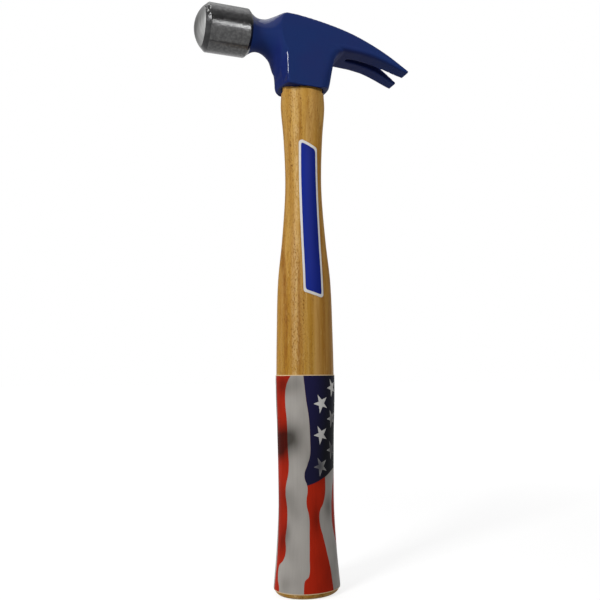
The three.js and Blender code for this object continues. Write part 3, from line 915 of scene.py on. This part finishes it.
def flag_film():
    material, place = new_material("flag_film")
    z = place.part(2) / MM
    turn = place.maths("ARCTAN2", place.part(0) * HANDLE_OVAL, 0 - place.part(1)) * (180 / math.pi)

    def wave(table):
        """Angle of a printed edge at this height, in degrees."""
        points = [(height / 110, (angle + 90) / 180) for height, angle in table]
        curve = place.node("FloatCurve", {"curve": points}, {"Value": z / 110})
        return curve * 180 - 90

    def past(edge):
        return (turn - edge).within(-0.45, 0.45)

    edges = [past(wave(table)) for table in STRIPE_EDGES]
    stripe = 1 - edges[0] + edges[1] - edges[2] + edges[3]
    sway = place.maths("SINE", z * 0.085) * 5
    for right, left, swing in zip(BACK_STRIPES, FAR_STRIPES, (-1, 1, -1)):
        stripe = stripe + past(sway + right) * swing + (1 - past(sway + left)) * swing
    red = place.maths("ABSOLUTE", stripe).within(0.4, 0.6)

    points = [((angle + 90) / 360, height / 110) for angle, height in CANTON_FLOOR]
    floor = place.node("FloatCurve", {"curve": points}, {"Value": (turn + 90) / 360}) * 110
    canton = edges[1] * (z - floor).within(-0.12, 0.12) * (1 - past(CANTON_END))

    column = (turn - (STAR_AT[0] - STAR_COLUMN / 2)) / STAR_COLUMN
    odd = place.maths("MODULO", place.maths("FLOOR", column), 2)
    across = (place.maths("FRACT", column) - 0.5) * (STAR_COLUMN * DEGREE_LENGTH)
    row = (z - STAR_AT[1] + odd * STAR_ROW / 2) / STAR_ROW + 20.5
    along_row = (place.maths("FRACT", row) - 0.5) * STAR_ROW
    spoke = place.maths("ARCTAN2", across + along_row * 0.12, along_row) + STAR_LEAN
    fold = place.maths("ABSOLUTE", place.maths("WRAP", spoke, math.pi / 5, -math.pi / 5))
    reach = place.maths("SQRT", across * across * 1.25 + along_row * along_row)
    waist = STAR_REACH * STAR_WAIST
    star = 1 - (reach * place.maths("COSINE", 2 * math.pi / 5 - fold)).within(waist - 0.1, waist + 0.1)
    star = star * canton * column.within(-0.02, 0.02) * (row - odd).within(17.99, 18.01)
    star = star * (1 - (row - odd).within(20.99, 21.01))

    shade = None
    for angle, height, wide, tall, depth in FOLDS:
        across_fold, up_fold = (turn - angle) / wide, (z - height) / tall
        spot = place.maths("POWER", math.e, 0 - across_fold * across_fold - up_fold * up_fold) * depth
        shade = spot if shade is None else shade + spot
    ripple = place.noise(70, 70, 45, detail=2.0).within(0.35, 0.75) * 0.22
    shade = place.maths("MINIMUM", shade + ripple, 1.0)
    streak = place.noise(1500, 1500, 40, detail=2.0).within(0.35, 0.75)

    white = turn.within(20, 60).tint(FLAG_WHITE, FLAG_BRIGHT)
    white = (shade * 0.88 + streak * 0.04).tint(white, FLAG_GREY)
    cloth = red.tint(white, (shade * 0.9 + streak * 0.06).tint(FLAG_RED, FLAG_RED_DEEP))
    night = (turn - 2).within(-8, 34) * 0.8 + (1 - (z - 60).within(0, 40)) * 0.4
    cloth = canton.tint(cloth, night.tint(FLAG_NAVY, FLAG_BLACK))
    cloth = (star * (1 - shade * 0.88)).tint(cloth, FLAG_STAR)
    ink = (z - PRINT_FOOT).within(-0.15, 0.15) * (1 - (z - PRINT_TOP).within(-0.12, 0.12))
    surface(place.node("BsdfPrincipled", (), {
        "Base Color": ink.tint(FILM_CLEAR, cloth),
        "Roughness": 0.42 + streak * 0.08,
        "Specular IOR Level": 0.025,
        "Normal": place.node("Bump", (), {"Strength": 0.1, "Distance": 0.0001, "Height": streak}),
    }))
    return material


fitted(film_skin(), "grip_film_print", flag_film(), "grip_film", crease=50)


# Studio
# A wide pale floor under the hammer, a soft key lamp and a fill to its left, a strip lamp and a top lamp.
# A gloss sees white round the horizon, behind the hammer and high up, and a dim room between.
CAMERA_AT = (-0.12403, -0.33539, 0.10504)
CAMERA_YAW = 19.93
CAMERA_PITCH = 6.417
CAMERA_ROLL = -0.516
CAMERA_LENS = 41.756
FLOOR_PLAIN = (0.62, 0.62, 0.62, 1)
FLOOR_SHADED = (0.32, 0.32, 0.32, 1)
FLOOR_NEAR = (0.79, 0.79, 0.79, 1)
WHITE = (1, 1, 1, 1)
BLACK = (0, 0, 0, 1)
DIM = 0.13
CEILING = 0.5
AMBIENT = 0.27
LAMPS = [
    ("key", (-0.76, -0.49, 0.67), (0, 0, 0.25), 0.22, 0.26, 6.6, 180),
    ("left_fill", (-1.1, 0.05, 0.25), (0, 0, 0.15), 0.9, 0.9, 3.6, 180),
    ("strip", (0.105, -0.44, 0.312), (-0.04, 0, 0.285), 0.3, 0.035, 0.15, 70),
    ("top", (0.02, 0.1, 1.18), (0, 0.08, 0.28), 0.9, 0.66, 2.1, 180),
]

camera = bpy.data.objects.new("camera", bpy.data.cameras.new("camera"))
camera.data.lens = CAMERA_LENS
camera.data.sensor_width = 36.0
camera.data.clip_start = 0.01
camera.matrix_world = (
    Matrix.Translation(CAMERA_AT)
    @ Matrix.Rotation(math.radians(-CAMERA_YAW), 4, "Z")
    @ Matrix.Rotation(math.radians(90 + CAMERA_PITCH), 4, "X")
    @ Matrix.Rotation(math.radians(CAMERA_ROLL), 4, "Z")
)
bpy.context.scene.collection.objects.link(camera)
bpy.context.scene.camera = camera
bpy.context.scene.view_settings.view_transform = "Standard"

for name, place, target, width, height, power, spread in LAMPS:
    lamp = bpy.data.objects.new(name, bpy.data.lights.new(name, "AREA"))
    lamp.data.shape = "RECTANGLE"
    lamp.data.size, lamp.data.size_y = width, height
    lamp.data.energy = power
    lamp.data.spread = math.radians(spread)
    aim = (Vector(target) - Vector(place)).to_track_quat("-Z", "Y")
    lamp.matrix_world = Matrix.Translation(place) @ aim.to_matrix().to_4x4()
    bpy.context.scene.collection.objects.link(lamp)


def seen(start):
    """1 where the camera, a gloss or a clear piece looks at this surface."""
    rays = ("Is Camera Ray", "Is Glossy Ray", "Is Transmission Ray")
    looks = [start.node("LightPath", (), (), ray) for ray in rays]
    return start.maths("MAXIMUM", start.maths("MAXIMUM", looks[0], looks[1]), looks[2])


def pale_floor():
    material, place = new_material("pale_floor")
    plain = place.node("BsdfDiffuse", (), {"Color": FLOOR_PLAIN})
    away = place.node("VectorMath", {"operation": "LENGTH"}, {0: place}, 1)
    lit = place.node("AddShader", (), {
        0: place.node("BsdfDiffuse", (), {"Color": FLOOR_SHADED}),
        1: place.node("Emission", (), {"Color": away.within(0.2, 0.9).tint(FLOOR_NEAR, WHITE)}),
    })
    surface(place.node("MixShader", (), {0: seen(place), 1: plain, 2: lit}))
    return material


ground = bmesh.new()
bmesh.ops.create_circle(ground, cap_ends=True, segments=96, radius=12.0)
floor_mesh = bpy.data.meshes.new("floor")
ground.to_mesh(floor_mesh)
ground.free()
floor_mesh.materials.append(pale_floor())
floor = bpy.data.objects.new("floor", floor_mesh)
bpy.context.scene.collection.objects.link(floor)

world = bpy.data.worlds.new("studio")
world.use_nodes = True
world.node_tree.nodes.clear()
bpy.context.scene.world = world
sky = Wire(world.node_tree)
look = sky.node("TexCoord", (), (), "Generated")
turned_camera = camera.matrix_world.to_3x3()


def toward(direction):
    return look.node("VectorMath", {"operation": "DOT_PRODUCT"}, {0: look, 1: direction}, 1)


ahead = look.maths("MAXIMUM", toward(turned_camera @ Vector((0, 0, -1))), 0.02)
out_right = look.maths("ABSOLUTE", toward(turned_camera @ Vector((1, 0, 0))) / ahead)
out_up = look.maths("ABSOLUTE", toward(turned_camera @ Vector((0, 1, 0))) / ahead)
backdrop = 1 - look.maths("MAXIMUM", out_right, out_up).within(0.46, 0.62)
horizon = 1 - look.part(2).within(0.03, 0.14)
ceiling = look.part(2).within(0.5, 0.64) * CEILING
white = look.maths("MAXIMUM", look.maths("MAXIMUM", backdrop, horizon), ceiling)
level = white * (1 - DIM) + DIM
strength = AMBIENT + (level - AMBIENT) * seen(look)
strength = look.maths("MAXIMUM", strength, look.node("LightPath", (), (), "Is Camera Ray"))
glow = look.node("Background", (), {"Color": strength.tint(BLACK, WHITE)})
glow.node("OutputWorld", (), {"Surface": glow})
